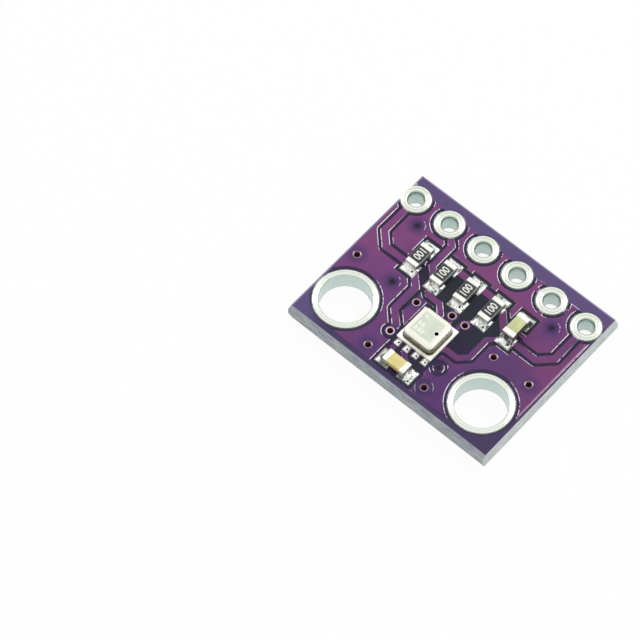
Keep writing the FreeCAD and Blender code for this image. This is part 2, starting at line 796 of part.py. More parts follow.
die = drawing_form("Die", lid_side, lid_height, lid_corner, size["lid_crown"])
punch = drawing_form("Punch", lid_side - 2 * lid_wall, lid_height - lid_wall,
                     lid_corner - lid_wall, size["lid_crown"] - lid_wall)
vent = rod("Vent", size["vent_hole"] / 2, 2 * lid_height, sensor_x + size["vent_shift"], sensor_y,
           base_top + lid_height / 2)
keep(cut("Lid", die, fused("Lid_openings", [punch, vent])), "sensor_lid")

# Solder film under the sensor, narrower at its top
def land_outline(land, inset, z):
    x, y, length, width = land
    corners = ((-1, -1), (1, -1), (1, 1), (-1, 1), (-1, -1))
    return Part.makePolygon([FreeCAD.Vector(x + i * (length / 2 - inset), y + j * (width / 2 - inset), z)
                             for i, j in corners])


film = doc.addObject("Part::Feature", "Sensor_film")
film.Shape = Part.makeCompound([
    Part.makeLoft([land_outline(land, 0, float(land_top)),
                   land_outline(land, mm("solder_film") / 2, float(chip_bottom))], True, True)
    for land in sensor_lands])
keep(film, "sensor_solder")

# Every object has to be sound before anything is written
doc.recompute()
for item in doc.Objects:
    if "Invalid" in item.State or "Error" in item.State:
        raise RuntimeError(f"{item.Label} did not build: {item.State}")
for part in parts:
    if part.Shape.isNull() or not part.Shape.isValid():
        raise RuntimeError(f"{part.Label} has no sound shape")

os.makedirs("parts", exist_ok=True)
for part in parts:
    part.Shape.exportStep(f"parts/{part.Label}.step")
    print(part.Label, len(part.Shape.Solids), round(part.Shape.Volume, 4))
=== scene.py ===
import functools
import itertools
import math

import bmesh
import bpy
from mathutils import Matrix, Vector, noise


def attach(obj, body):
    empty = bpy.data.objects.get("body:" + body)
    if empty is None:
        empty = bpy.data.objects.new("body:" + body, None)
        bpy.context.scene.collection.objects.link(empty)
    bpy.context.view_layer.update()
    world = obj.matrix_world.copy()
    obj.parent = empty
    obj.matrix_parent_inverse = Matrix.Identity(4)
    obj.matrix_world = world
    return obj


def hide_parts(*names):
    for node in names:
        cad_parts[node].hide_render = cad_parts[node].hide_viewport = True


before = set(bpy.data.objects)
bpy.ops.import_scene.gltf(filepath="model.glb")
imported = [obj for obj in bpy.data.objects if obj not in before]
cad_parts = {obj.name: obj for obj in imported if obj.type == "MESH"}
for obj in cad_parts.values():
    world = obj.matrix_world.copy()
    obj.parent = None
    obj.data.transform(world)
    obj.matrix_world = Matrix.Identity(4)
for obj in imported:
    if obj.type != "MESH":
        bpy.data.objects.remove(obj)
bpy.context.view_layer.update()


# Camera
# A long lens looks down on the board from its front right, over the corner by the right mounting
# hole. The board fills the right half of the picture, and bare table the left half.
MM = 0.001
camera = bpy.data.objects.new("camera", bpy.data.cameras.new("camera"))
camera.data.lens = 188.57
camera.data.sensor_width = 36
camera.data.clip_start = 0.01
camera.data.clip_end = 10
right = Vector((0.75048707, 0.66082664, 0.00879307))
down = Vector((0.58117641, -0.65357861, -0.48483912))
look = Vector((-0.31464764, 0.36897581, -0.87455915))
camera_place = Vector((54.5095, -75.5867, 167.7258)) * MM
camera_turn = Matrix((right, -down, -look)).transposed().to_4x4()
camera.matrix_world = Matrix.Translation(camera_place) @ camera_turn
bpy.context.scene.collection.objects.link(camera)
bpy.context.scene.camera = camera
bpy.context.scene.view_settings.view_transform = "Standard"


# Table top and room
# A matt white sheet under the board and white walls all round. Both look plain white to the eye
# and in metal, and the sheet still takes a soft shadow from the board.
class Reading:
    """A value inside a finish. A sum written with it adds its Math nodes."""

    def __init__(self, finish, socket):
        self.finish = finish
        self.socket = socket

    def __add__(self, other):
        return self.finish.maths("ADD", self, other)

    def __sub__(self, other):
        return self.finish.maths("SUBTRACT", self, other)

    def __rsub__(self, other):
        return self.finish.maths("SUBTRACT", other, self)

    def __mul__(self, other):
        return self.finish.maths("MULTIPLY", self, other)

    def __truediv__(self, other):
        return self.finish.maths("DIVIDE", self, other)

    def __abs__(self):
        return self.finish.maths("ABSOLUTE", self)

    __radd__ = __add__
    __rmul__ = __mul__


class Finish:
    """The nodes of one finish, on a material or on the room."""

    def __init__(self, owner):
        owner.use_nodes = True
        self.owner = owner
        self.tree = owner.node_tree
        self.tree.nodes.clear()

    def node(self, kind, settings=None, sockets=None, out=0):
        """Any node: its settings come first, then the values or links of its sockets."""
        made = self.tree.nodes.new("ShaderNode" + kind)
        for name, value in (settings or {}).items():
            setattr(made, name, value)
        for name, value in (sockets or {}).items():
            if isinstance(value, Reading):
                self.tree.links.new(value.socket, made.inputs[name])
            else:
                made.inputs[name].default_value = value
        return Reading(self, made.outputs[out]) if len(made.outputs) else None

    def maths(self, operation, *values):
        return self.node("Math", {"operation": operation}, dict(enumerate(values)))

    def axes(self, kind="TexCoord", out="Object"):
        """The three parts of the place, or of a normal."""
        whole = self.node(kind, out=out)
        split = self.node("SeparateXYZ", sockets={0: whole}).socket.node
        return [Reading(self, socket) for socket in split.outputs]

    def slope(self, kind, out):
        """Which way a surface falls, as a level direction of length one, and how steeply."""
        x, y, _ = self.axes(kind, out)
        steepness = self.maths("POWER", x * x + y * y, 0.5)
        return x / steepness, y / steepness, steepness

    def away(self, spot):
        """How far a place lies from the upright line through a spot, which is in millimetres."""
        x, y, _ = self.axes()
        flat = self.node("CombineXYZ", sockets={0: x, 1: y})
        ends = {0: flat, 1: Vector((*spot, 0)) * MM}
        return self.node("VectorMath", {"operation": "DISTANCE"}, ends, out="Value")

    def most(self, values):
        """The largest of several values."""
        return functools.reduce(lambda one, other: self.maths("MAXIMUM", one, other), values)

    def tint(self, share, low, high):
        """From one colour to another."""
        return self.node("Mix", {"data_type": "RGBA"}, {0: share, 6: low, 7: high}, out=2)

    def rise(self, value, none, full):
        """A share that goes smoothly from 0 where the value is none to 1 where it is full."""
        ends = {0: value, 1: none, 2: full}
        return self.node("MapRange", {"interpolation_type": "SMOOTHSTEP"}, ends)

    def span(self, value, none, full):
        """The same share along a length, with both its ends in millimetres."""
        return self.rise(value, none * MM, full * MM)

    def round_spot(self, spot, none, full):
        """The same share round a spot, by the distance from it."""
        return self.span(self.away(spot), none, full)

    def speckle(self, size, detail=3, stretch=(1, 1, 1)):
        """Noise whose patches are about as large as size, in millimetres."""
        place = self.node("TexCoord", out="Object")
        where = {"Vector": place, "Scale": stretch}
        where = self.node("Mapping", {"vector_type": "TEXTURE"}, where)
        return self.node("TexNoise", sockets={"Vector": where, "Scale": 1 / (size * MM), "Detail": detail})

    def bump(self, height, depth):
        """A normal for a relief of that depth, in millimetres."""
        return self.node("Bump", sockets={"Height": height, "Distance": depth * MM})

    def surface(self, **sockets):
        named = {name.replace("_", " "): value for name, value in sockets.items()}
        self.show(self.node("BsdfPrincipled", sockets=named))
        return self

    def show(self, shader):
        kind = "OutputWorld" if isinstance(self.owner, bpy.types.World) else "OutputMaterial"
        self.node(kind, sockets={"Surface": shader})

    def seen(self):
        """1 for what the eye, or metal and glass, sees, and 0 for light that falls on things."""
        path = self.node("LightPath").socket.node
        rays = ("Is Camera Ray", "Is Glossy Ray", "Is Transmission Ray")
        return self.most([Reading(self, path.outputs[ray]) for ray in rays])


def finish(name):
    return Finish(bpy.data.materials.new(name))


def paint(red, green, blue):
    """A colour given as it looks on a screen, from 0 to 255."""
    return tuple(c / 255 / 12.92 if c <= 10 else ((c / 255 + 0.055) / 1.055) ** 2.4
                 for c in (red, green, blue)) + (1,)


WHITE = (1, 1, 1, 1)
ROOM_FILL = 0.66
SHEET_GLOW = 0.94
SHEET_REACH = 1.5

room = Finish(bpy.data.worlds.new("room"))
bpy.context.scene.world = room.owner
room_light = ROOM_FILL + (1 - ROOM_FILL) * room.seen()
room.show(room.node("Background", sockets={"Color": WHITE, "Strength": room_light}))

sheet = finish("white_sheet")
matt = sheet.node("BsdfDiffuse", sockets={"Color": (0.97, 0.97, 0.97, 1)})
bright = sheet.node("Emission", sockets={"Color": WHITE, "Strength": 1})
sheet.show(sheet.node("MixShader", sockets={0: SHEET_GLOW * sheet.seen(), 1: matt, 2: bright}))

form = bmesh.new()
bmesh.ops.create_grid(form, x_segments=1, y_segments=1, size=SHEET_REACH)
floor_mesh = bpy.data.meshes.new("floor")
form.to_mesh(floor_mesh)
form.free()
floor = bpy.data.objects.new("floor", floor_mesh)
floor_mesh.materials.append(sheet.owner)
bpy.context.scene.collection.objects.link(floor)


# Lamps
# Two square soft boxes above the table. One stands behind the header row on the right, the other
# on the left, so that the slopes of the relief catch them.
LAMP_DISTANCE = 0.35


def soft_box(name, towards, side, radiance):
    """A square lamp that faces the board. Its side is in metres."""
    data = bpy.data.lights.new(name, "AREA")
    data.size = side
    data.energy = radiance * math.pi * side ** 2
    lamp = bpy.data.objects.new(name, data)
    towards = Vector(towards).normalized()
    turn = towards.to_track_quat("Z", "Y").to_matrix().to_4x4()
    lamp.matrix_world = Matrix.Translation(towards * LAMP_DISTANCE) @ turn
    lamp.visible_camera = False
    bpy.context.scene.collection.objects.link(lamp)


soft_box("lamp_back_right", towards=(0.25, 0.66, 0.70), side=0.16, radiance=4.5)
soft_box("lamp_left", towards=(-0.76, -0.03, 0.65), side=0.12, radiance=4.5)


# Laminate
# The board's core is glass-fibre cloth in epoxy, a pale grey-green plate. It was scored along its
# outline on both faces and snapped out of its panel, which leaves pale, streaky, slightly torn edges.
def coat_as_built(label, coat):
    """Gives a part that keeps its CAD form its finish."""
    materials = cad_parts[label].data.materials
    materials.clear()
    materials.append(coat.owner)


laminate = finish("laminate")
x, *_ = laminate.axes()
streaks = laminate.rise(laminate.speckle(0.09, 4, (9, 9, 0.8)), 0.3, 0.7)
threads = laminate.speckle(0.035, 2, (20, 20, 1))
dull = laminate.tint(streaks, paint(138, 147, 154), paint(184, 192, 194))
painted_lit_edge = laminate.tint(streaks, paint(184, 195, 190), paint(220, 226, 224))
# Painted light: the right edge is painted paler than the front edge, as the side that the light falls on.
edge_colour = laminate.tint(laminate.span(x, 7.1, 7.2), dull, painted_lit_edge)
light_threads = laminate.rise(threads, 0.58, 0.68)
edge_colour = laminate.tint(0.6 * light_threads, edge_colour, paint(226, 233, 231))
dark_threads = laminate.rise(threads, 0.40, 0.32)
edge_colour = laminate.tint(0.5 * dark_threads, edge_colour, paint(112, 124, 128))
laminate.surface(Base_Color=edge_colour, Roughness=0.55 + 0.2 * streaks,
                 Normal=laminate.bump(0.5 * streaks + threads, 0.03))
coat_as_built("substrate", laminate)


# Copper foil
# One etched sheet on each face, 35 micrometres thick. It is tinned where the mask leaves it bare,
# at the lands and at the ends of the ground spokes round the header holes.
def grained(name, size, detail, shades, roughness, depth=0, **others):
    """A finish with one grain, which drives its colour, its roughness and, given a depth, its relief."""
    coat = finish(name)
    grain = coat.speckle(size, detail)
    if depth:
        others["Normal"] = coat.bump(grain, depth)
    least, added = roughness
    return coat.surface(Base_Color=coat.tint(grain, *shades), Roughness=least + added * grain, **others)


foil = grained("tinned_foil", 0.12, 4, (paint(205, 208, 196), paint(240, 241, 234)),
               roughness=(0.25, 0.2), depth=0.006, Metallic=1.0)
for label in ("top_copper", "bottom_copper"):
    coat_as_built(label, foil)


# Plated holes
# Six header holes and two mounting holes, each a copper barrel with a round land on both faces,
# dipped in solder and levelled with hot air. The solder stands in two soft rolls with a groove between.
BOARD_THICKNESS = 1.40
MIDPLANE = BOARD_THICKNESS / 2
EDGE_LEFT = -7.22
ROW_MIDDLE, HEADER_PITCH, HEADER_Y = -0.12, 2.54, 4.31
HEADER_HOLES = [(ROW_MIDDLE + HEADER_PITCH * (index - 2.5), HEADER_Y) for index in range(6)]
MOUNTING_HOLES = [(-5.17, -3.39), (4.93, -3.39)]


def settle(name, form, coat, slot, *nodes, sharp=38):
    """Turns a shape in millimetres into a piece of the board, in place of its CAD nodes."""
    bmesh.ops.scale(form, vec=(MM, MM, MM), verts=form.verts)
    bmesh.ops.recalc_face_normals(form, faces=form.faces)
    for edge in form.edges:
        edge.smooth = len(edge.link_faces) == 2 and edge.calc_face_angle(0) < math.radians(sharp)
    for face in form.faces:
        face.smooth = True
    mesh = bpy.data.meshes.new(name)
    form.to_mesh(mesh)
    form.free()
    mesh.materials.append(coat.owner)
    piece = bpy.data.objects.new(name, mesh)
    bpy.context.scene.collection.objects.link(piece)
    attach(piece, "root")
    if nodes:
        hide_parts(*nodes)
    return piece


def turned(form, profile, steps, middle):
    """Spins a closed outline of (radius, height) round the upright axis through middle."""
    corners = [form.verts.new((radius, 0, height)) for radius, height in profile]
    loop = [form.edges.new(pair) for pair in zip(corners, corners[1:] + corners[:1])]
    bmesh.ops.spin(form, geom=corners + loop, cent=(0, 0, 0), axis=(0, 0, 1), dvec=(0, 0, 0),
                   angle=math.tau, steps=steps, use_merge=True)
    around = {vert for face in form.faces if face.is_valid for vert in face.verts if not vert.tag}
    bmesh.ops.translate(form, vec=(*middle, 0), verts=list(around))
    for vert in around:
        vert.tag = True


def both_faces(upper):
    """A closed outline from its upper half, which starts on the midplane, and the same mirrored."""
    return upper + [(radius, BOARD_THICKNESS - height) for radius, height in reversed(upper[1:])]


# Across each roll: share of its width, height above the underside
INNER_ROLL = ((0.0, 1.300), (0.07, 1.352), (0.25, 1.385), (0.45, 1.398), (0.65, 1.399), (0.85, 1.390),
              (1.0, 1.379))
OUTER_ROLL = ((0.12, 1.388), (0.3, 1.398), (0.52, 1.399), (0.72, 1.393), (0.88, 1.378), (0.97, 1.354),
              (1.0, 1.322))


def rolls(hole, groove, land, drill):
    """The outline of one ring, given by its radii."""
    upper = [(hole, MIDPLANE)]
    upper += [(hole + (groove - hole) * share, height) for share, height in INNER_ROLL]
    upper += [(groove + (land - groove) * share, height) for share, height in OUTER_ROLL]
    upper.append((drill, OUTER_ROLL[-1][1]))
    return both_faces(upper)


levelled = finish("levelled_solder")
_, y, z = levelled.axes()
in_header_row = levelled.span(y, 2.5, 3.0)
off_middle = abs(z - MIDPLANE * MM)
barrel = levelled.span(off_middle, 0.66, 0.60)
grain = levelled.speckle(0.22, 3)
# Painted highlight: the crests of the rolls are painted paler, and so are the mounting lands all over.
crest_highlight = levelled.most([levelled.span(off_middle, 0.676, 0.696), 0.6 * levelled.span(y, 0, -1)])
land_colour = levelled.tint(crest_highlight, paint(190, 196, 180), paint(235, 239, 229))
land_colour = levelled.tint(0.4 * levelled.rise(grain, 0.50, 0.75), land_colour, paint(200, 206, 190))
# Painted shade: the narrow header bores are painted darker than the mounting bores, most of all under the
# lip and on two opposite sides.
bore_colour = levelled.tint(in_header_row, paint(194, 212, 206), paint(180, 199, 193))
turn_x, turn_y, _ = levelled.slope("TexCoord", "Normal")
bore_sides = levelled.rise(abs(0.75 * turn_x + 0.66 * turn_y), 0.70, 0.98)
under_lip = levelled.span(off_middle, 0.50, 0.59)
bore_shade = (0.25 * under_lip + 0.45 * bore_sides) * in_header_row
bore_colour = levelled.tint(bore_shade, bore_colour, paint(104, 122, 116))
levelled.surface(Base_Color=levelled.tint(barrel, land_colour, bore_colour), Metallic=0.9,
                 Roughness=0.16 + 0.16 * grain, Normal=levelled.bump(grain, 0.015))

for number, middle in enumerate(HEADER_HOLES, start=1):
    form = bmesh.new()
    turned(form, rolls(hole=0.50, groove=0.76, land=0.92, drill=0.55), steps=64, middle=middle)
    if number == 1:
        whole = form.verts[:] + form.edges[:] + form.faces[:]
        cut = bmesh.ops.bisect_plane(form, geom=whole, plane_co=(EDGE_LEFT, 0, 0), plane_no=(-1, 0, 0),
                                     clear_outer=True)["geom_cut"]
        rim = [part for part in cut if isinstance(part, bmesh.types.BMEdge)]
        bmesh.ops.contextual_create(form, geom=rim)
    settle(f"header_land_{number}", form, levelled, "tinned_copper", f"header_ring_{number}")
for side, middle in zip(("left", "right"), MOUNTING_HOLES):
    form = bmesh.new()
    turned(form, rolls(hole=1.55, groove=1.77, land=1.92, drill=1.61), steps=128, middle=middle)
    settle(f"mounting_land_{side}", form, levelled, "tinned_copper", f"mounting_ring_{side}")


# Vias
# Thirteen small plated barrels carry ground and signals from face to face. Nine show a thin tinned
# rim; the mask runs over the rims of the other four. Their bores are painted dark, as shade deep in them.
ADDRESS_VIA, OPTION_VIA, SELECT_VIA = (-1.91, -3.28), (1.89, -4.78), (1.69, -3.28)
SIGNAL_VIAS = ((-1.99, -0.89), (0.09, -0.21), (1.04, -0.21))
OPEN_POUR_VIAS = ((-6.59, -0.76), (-2.26, -4.79), (3.57, -0.70), (6.17, -0.73))
OPEN_VIAS = (*OPEN_POUR_VIAS, *SIGNAL_VIAS, ADDRESS_VIA, OPTION_VIA)
POUR_VIAS = ((-5.25, 3.00), (-3.91, -0.77), (4.84, 2.93))
COVERED_VIAS = (*POUR_VIAS, SELECT_VIA)
# Where two painted highlights sit on the rim of each open via in the pour, off its middle
HIGHLIGHT_OFFSETS = ((-0.24, -0.08), (0.13, 0.21))
VIA_RIM = ((0.15, 1.33), (0.165, 1.356), (0.19, 1.374), (0.212, 1.390), (0.235, 1.396), (0.255, 1.389),
           (0.266, 1.372), (0.27, 1.357), (0.20, 1.357))
COVERED_BARREL = ((0.15, 0.047), (0.15, 1.353), (0.20, 1.353), (0.20, 0.047))

via_tin = finish("via_tin")
*_, z = via_tin.axes()
grain = via_tin.speckle(0.1, 2)
rim_share = via_tin.span(abs(z - MIDPLANE * MM), 0.672, 0.690)
# Painted highlights: two pale spots on the rim of each open via in the pour, and paler rims on the signal
# vias and the address via.
painted_rim_highlights = [0.8 * via_tin.round_spot((via_x + highlight_x, via_y + highlight_y), 0.15, 0.09)
         for via_x, via_y in OPEN_POUR_VIAS for highlight_x, highlight_y in HIGHLIGHT_OFFSETS]
painted_rim_highlights += [0.5 * via_tin.round_spot(via, 0.6, 0.5) for via in SIGNAL_VIAS]
painted_rim_highlights.append(via_tin.round_spot(ADDRESS_VIA, 0.6, 0.5))
rim_colour = via_tin.tint(via_tin.most(painted_rim_highlights), paint(146, 118, 142), paint(238, 220, 234))
rim_colour = via_tin.tint(0.5 * via_tin.rise(grain, 0.5, 0.7), rim_colour, paint(120, 92, 116))
# Painted shade: below the rims the bores are painted dark maroon.
via_tin.surface(Base_Color=via_tin.tint(rim_share, paint(92, 42, 52), rim_colour),
                Metallic=0.4 * rim_share, Roughness=0.4 + 0.2 * grain, Normal=via_tin.bump(grain, 0.006))

form = bmesh.new()
for middle in OPEN_VIAS:
    turned(form, both_faces([(0.15, MIDPLANE), *VIA_RIM]), steps=28, middle=middle)
for middle in COVERED_VIAS:
    turned(form, COVERED_BARREL, steps=28, middle=middle)
settle("via_plating", form, via_tin, "tinned_copper", "vias")


# Solder mask
# A purple epoxy film over both faces, spread wet and cured. It pools between the tracks, where it
# looks nearly black over the laminate, and lies thinner over the copper, magenta, with highlights
# painted on its slopes.
MASK_LEVELS = (("top", 1.37, 1.395, 1), ("bottom", 0.03, 0.005, -1))
WALL_LEAN = 0.045
MERGE_WITHIN = 0.0006
LEVEL_SLACK = 0.002
UNFOLD_ROUNDS = 6


def leaning_mask(label, pool, cap, sign):
    """A copy of the CAD film, its walls leaning out from the copper instead of standing upright."""
    form = bmesh.new()
    form.from_mesh(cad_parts[label].data)
    bmesh.ops.scale(form, vec=(1 / MM, 1 / MM, 1 / MM), verts=form.verts)
    bmesh.ops.remove_doubles(form, verts=form.verts, dist=MERGE_WITHIN)
    form.normal_update()
    moves = {}
    for vert in form.verts:
        if abs(vert.co.z - pool) > LEVEL_SLACK:
            continue
        walls = [face.normal.copy() for face in vert.link_faces if abs(face.normal.z) < 0.1
                 and any(abs(other.co.z - cap) < LEVEL_SLACK for other in face.verts)]
        if walls:
            one, other = min(itertools.product(walls, walls), key=lambda pair: pair[0].dot(pair[1]))
            moves[vert] = (one + other) * WALL_LEAN / max(1 + one.dot(other), 0.5)
    for vert, move in moves.items():
        vert.co += move
    for _ in range(UNFOLD_ROUNDS):
        form.normal_update()
        folded = {vert for vert in moves for face in vert.link_faces
                  if abs(face.normal.z) > 0.9 and face.normal.z * sign < 0}
        for vert in folded:
            vert.co -= moves.pop(vert)
    return form


def copper_purple(film, x, y):
    """The film over copper: magenta, bluer at the front and right and round the vias, with a painted
    highlight along the copper's right edge.
    """
    purple = film.tint(film.span(y, 1.0, -5.0), paint(127, 70, 130), paint(101, 60, 123))
    purple = film.tint(0.5 * film.span(x, 1.5, 6.5), purple, paint(98, 58, 112))
    front_right = film.span(x, 0.5, 2.0) * film.span(y, -1.8, -3.4)
    purple = film.tint(0.7 * front_right, purple, paint(88, 50, 112))
    drift = film.rise(film.speckle(3.2, 2), 0.35, 0.65) * (1 - 0.8 * front_right)
    purple = film.tint(0.35 * drift, purple, paint(148, 74, 124))
    halos = [film.round_spot(via, 0.85, 0.30) for via in OPEN_VIAS + COVERED_VIAS]
    halos.append(0.85 * film.round_spot((4.2, -1.3), 2.9, 1.0))
    purple = film.tint(0.75 * film.most(halos), purple, paint(80, 56, 112))
    shades = [film.round_spot(via, 0.42, 0.16) for via in POUR_VIAS]
    shades.append(film.round_spot(SELECT_VIA, 0.64, 0.46))
    purple = film.tint(0.8 * film.most(shades), purple, paint(52, 38, 78))
    # Painted highlight: a pale pink line along the right edge of the copper
    painted_edge_highlight = film.span(x, 6.95, 6.98) * film.span(abs(y - 0.35 * MM), 3.05, 2.95)
    return film.tint(0.6 * painted_edge_highlight, purple, paint(214, 160, 190))


def pool_purple(film, x, y):
    """The film over bare laminate: near black, but indigo along the outline and at the corners."""
    from_mounts = film.maths("MINIMUM", *[film.away(hole) for hole in MOUNTING_HOLES])
    corner = film.span(abs(x + 0.12 * MM) - y, 9.6, 10.6) * film.span(from_mounts, 1.97, 2.12)
    outline = film.most([film.span(abs(x), 7.03, 7.08), film.span(-1 * y, 5.40, 5.45), corner])
    indigo = film.tint(film.span(-1 * x, 4.6, 6.6), paint(72, 59, 97), paint(99, 85, 133))
    among_chips = film.span(abs(x - 0.9 * MM), 3.6, 3.2) * film.span(abs(y - 0.9 * MM), 2.2, 1.8)
    bare = film.tint(among_chips, paint(41, 31, 62), paint(34, 38, 50))
    by_mounts = film.span(from_mounts, 1.96, 2.05) * film.span(from_mounts, 2.40, 2.30)
    bare = film.tint(by_mounts, bare, paint(54, 46, 78))
    bare = film.tint(outline, bare, indigo)
    bare = film.tint(film.span(y, 4.80, 4.92), bare, paint(100, 83, 131))
    bare = film.tint(0.9 * film.round_spot(SELECT_VIA, 0.74, 0.68), bare, paint(56, 42, 80))
    return film.tint(0.85 * film.round_spot(OPTION_VIA, 0.66, 0.58), bare, paint(78, 58, 102))


def glints(film, x):
    """Painted highlights where the film's slopes face a lamp: broken pale lines along the edges of the
    copper.
    """
    turn_x, turn_y, steepness = film.slope("NewGeometry", "True Normal")
    breaks = film.speckle(0.16, 2)
    to_right = film.rise(0.9 * turn_x + 0.44 * turn_y, 0.66, 0.76) * film.rise(breaks, 0.34, 0.44)
    to_left = film.rise(-0.707 * turn_x - 0.707 * turn_y, 0.82, 0.90) * film.rise(breaks, 0.42, 0.50)
    to_back = film.rise(turn_y, 0.90, 0.97) * film.span(x, 2.2, 2.8) * film.rise(breaks, 0.40, 0.48)
    near_rims = [film.round_spot(via, 0.44, 0.40) for via in (*SIGNAL_VIAS, ADDRESS_VIA, OPTION_VIA)]
    near_rims.append(0.6 * film.round_spot(OPTION_VIA, 0.80, 0.74))
    caught = film.most([to_right, to_left, to_back])
    return caught * film.rise(steepness, 0.1, 0.2) * (1 - film.most(near_rims))


def arc_highlights(film, x, y):
    """A painted highlight, a pale broken arc, on the slope of the swollen film right of each covered pour
    via.
    """
    found = []
    for via in POUR_VIAS:
        away = film.away(via)
        band = film.span(away, 0.425, 0.45) * film.span(away, 0.51, 0.485)
        ahead = 0.75 * (x - via[0] * MM) + 0.66 * (y - via[1] * MM)
        found.append(band * film.span(ahead, 0.34, 0.39))
    return film.most(found) * film.rise(film.speckle(0.13, 2), 0.40, 0.50)


def mask_finish(name, pool, cap):
    """The film of one face, which lies at height pool over bare laminate and at cap over copper."""
    film = finish(name)
    x, y, z = film.axes()
    over_copper = film.span(z, pool + 0.10 * (cap - pool), pool + 0.6 * (cap - pool))
    colour = film.tint(over_copper, pool_purple(film, x, y), copper_purple(film, x, y))
    mottle = film.speckle(0.5, 3)
    colour = film.tint(0.08 + 0.18 * mottle, colour, paint(30, 20, 50))
    dimples = film.most([film.round_spot(via, 0.18, 0.10) for via in COVERED_VIAS])
    colour = film.tint(0.9 * dimples, colour, paint(24, 12, 36))
    # A pale line along the outline, wider on the left and back: the film's snapped edge, with a painted
    # highlight on it.
    brink = film.most([film.span(abs(x), 7.185, 7.212), film.span(abs(y), 5.725, 5.752),
                       film.span(-1 * x, 7.10, 7.20), film.span(y, 5.64, 5.74)])
    colour = film.tint(0.65 * brink, colour, paint(184, 174, 204))
    scraped = film.span(-1 * x, 7.00, 7.08) * film.span(abs(y - 4.45 * MM), 0.78, 0.62)
    colour = film.tint(0.85 * scraped, colour, paint(186, 206, 196))
    # Painted highlights: pale arcs beside the covered vias in the pour
    colour = film.tint(0.75 * arc_highlights(film, x, y), colour, paint(214, 190, 224))
    # Painted highlights along the film's slopes at the copper's edges
    colour = film.tint(0.95 * glints(film, x), colour, paint(250, 238, 250))
    return film.surface(Base_Color=colour, Roughness=0.2 + 0.12 * mottle, Specular_IOR_Level=0.25,
                        Normal=film.bump(mottle, 0.012))


for label, pool, cap, sign in MASK_LEVELS:
    form = leaning_mask(f"{label}_mask", pool, cap, sign)
    film = mask_finish(f"{label}_mask_film", pool, cap)
    piece = settle(f"{label}_film", form, film, "solder_mask", f"{label}_mask", sharp=70)
    for polygon in piece.data.polygons:
        polygon.use_smooth = abs(polygon.normal.z) < 0.99


# Chip resistors
# Four ceramic chips in a row behind the sensor, 1.6 by 0.8 mm. Each has plated ends that wrap over
# the white ceramic, and a charcoal glaze with a plain printed number over the resistor film.
CHIP_LENGTH, CHIP_WIDTH, CHIP_FOOT = 1.58, 0.80, 1.405
RESISTOR_HEIGHT, RESISTOR_BAND = 0.45, 0.285
GLAZE_FOOT, GLAZE_TOP = 0.397, 0.457
ROW_X = [-0.16 + 1.78 * (index - 2) for index in range(5)]
ROW_Y = 1.415
# Each resistor: its name, how far it lies off its land, its turn, and the turn of its number
RESISTORS = (("resistor_1", -0.03, 90, -90), ("resistor_2", -0.03, 90, 90), ("resistor_3", -0.09, 92, 92),
             ("resistor_4", -0.02, 90, 90))


def slab(form, place, length, width, height, bevel, segments, lift=0, spot=0):
    """A bevelled block, lift above the chip's foot and spot along from its middle."""
    corners = bmesh.ops.create_cube(form, size=1)["verts"]
    bmesh.ops.scale(form, vec=(length, width, height), verts=corners)
    bmesh.ops.translate(form, vec=(spot, 0, lift + height / 2), verts=corners)
    edges = list({edge for vert in corners for edge in vert.link_edges})
    bevelled = bmesh.ops.bevel(form, geom=edges, offset=bevel, offset_type="OFFSET", affect="EDGES",
                               segments=segments, profile=0.5, material=-1)
    seeds = {vert for face in bevelled["faces"] for vert in face.verts}
    whole = {vert for seed in seeds for edge in seed.link_edges for vert in edge.verts}
    bmesh.ops.transform(form, matrix=place, verts=list(whole))


def both_ends(form, place, band, width, height, bevel, segments):
    """The plated ends of a chip, each as long as band."""
    for end in (-1, 1):
        slab(form, place, length=band, width=width, height=height, bevel=bevel, segments=segments,
             spot=end * (CHIP_LENGTH - band) / 2)


def chip_place(x, y, turn):
    return Matrix.Translation((x, y, CHIP_FOOT)) @ Matrix.Rotation(math.radians(turn), 4, "Z")


def printed_number(body):
    """The number as a thin solid about its middle, one unit long and one unit high."""
    curve = bpy.data.curves.new("number", "FONT")
    curve.body = body
    curve.offset = 0.018
    curve.extrude = 0.05
    words = bpy.data.objects.new("number", curve)
    bpy.context.scene.collection.objects.link(words)
    bpy.context.view_layer.update()
    mesh = bpy.data.meshes.new_from_object(words.evaluated_get(bpy.context.evaluated_depsgraph_get()))
    bpy.data.objects.remove(words)
    form = bmesh.new()
    form.from_mesh(mesh)
    bpy.data.meshes.remove(mesh)
    bmesh.ops.remove_doubles(form, verts=form.verts, dist=0.0001)
    reach = [[vert.co[axis] for vert in form.verts] for axis in range(3)]
    bmesh.ops.translate(form, vec=[-(min(r) + max(r)) / 2 for r in reach], verts=form.verts)
    bmesh.ops.scale(form, vec=[1 / (max(r) - min(r)) for r in reach], verts=form.verts)
    return form


ceramic = finish("white_ceramic")
*_, z = ceramic.axes()
grain = ceramic.speckle(0.05, 3)
# Painted shade: the ceramic's sides below its top are painted dark.
flank = ceramic.span(z, CHIP_FOOT + 0.36, CHIP_FOOT + 0.30)
ceramic_colour = ceramic.tint(grain, paint(176, 188, 184), paint(206, 214, 208))
ceramic_colour = ceramic.tint(0.9 * flank, ceramic_colour, paint(66, 72, 72))
ceramic.surface(Base_Color=ceramic_colour, Roughness=0.5 + 0.2 * grain, Normal=ceramic.bump(grain, 0.006))

plating = finish("terminal_tin")
x, _, z = plating.axes()
grain = plating.speckle(0.14, 4)
scuffs = plating.speckle(0.07, 2, (1, 4, 1))
tin_colour = plating.tint(plating.rise(grain, 0.3, 0.7), paint(230, 231, 222), paint(247, 248, 242))
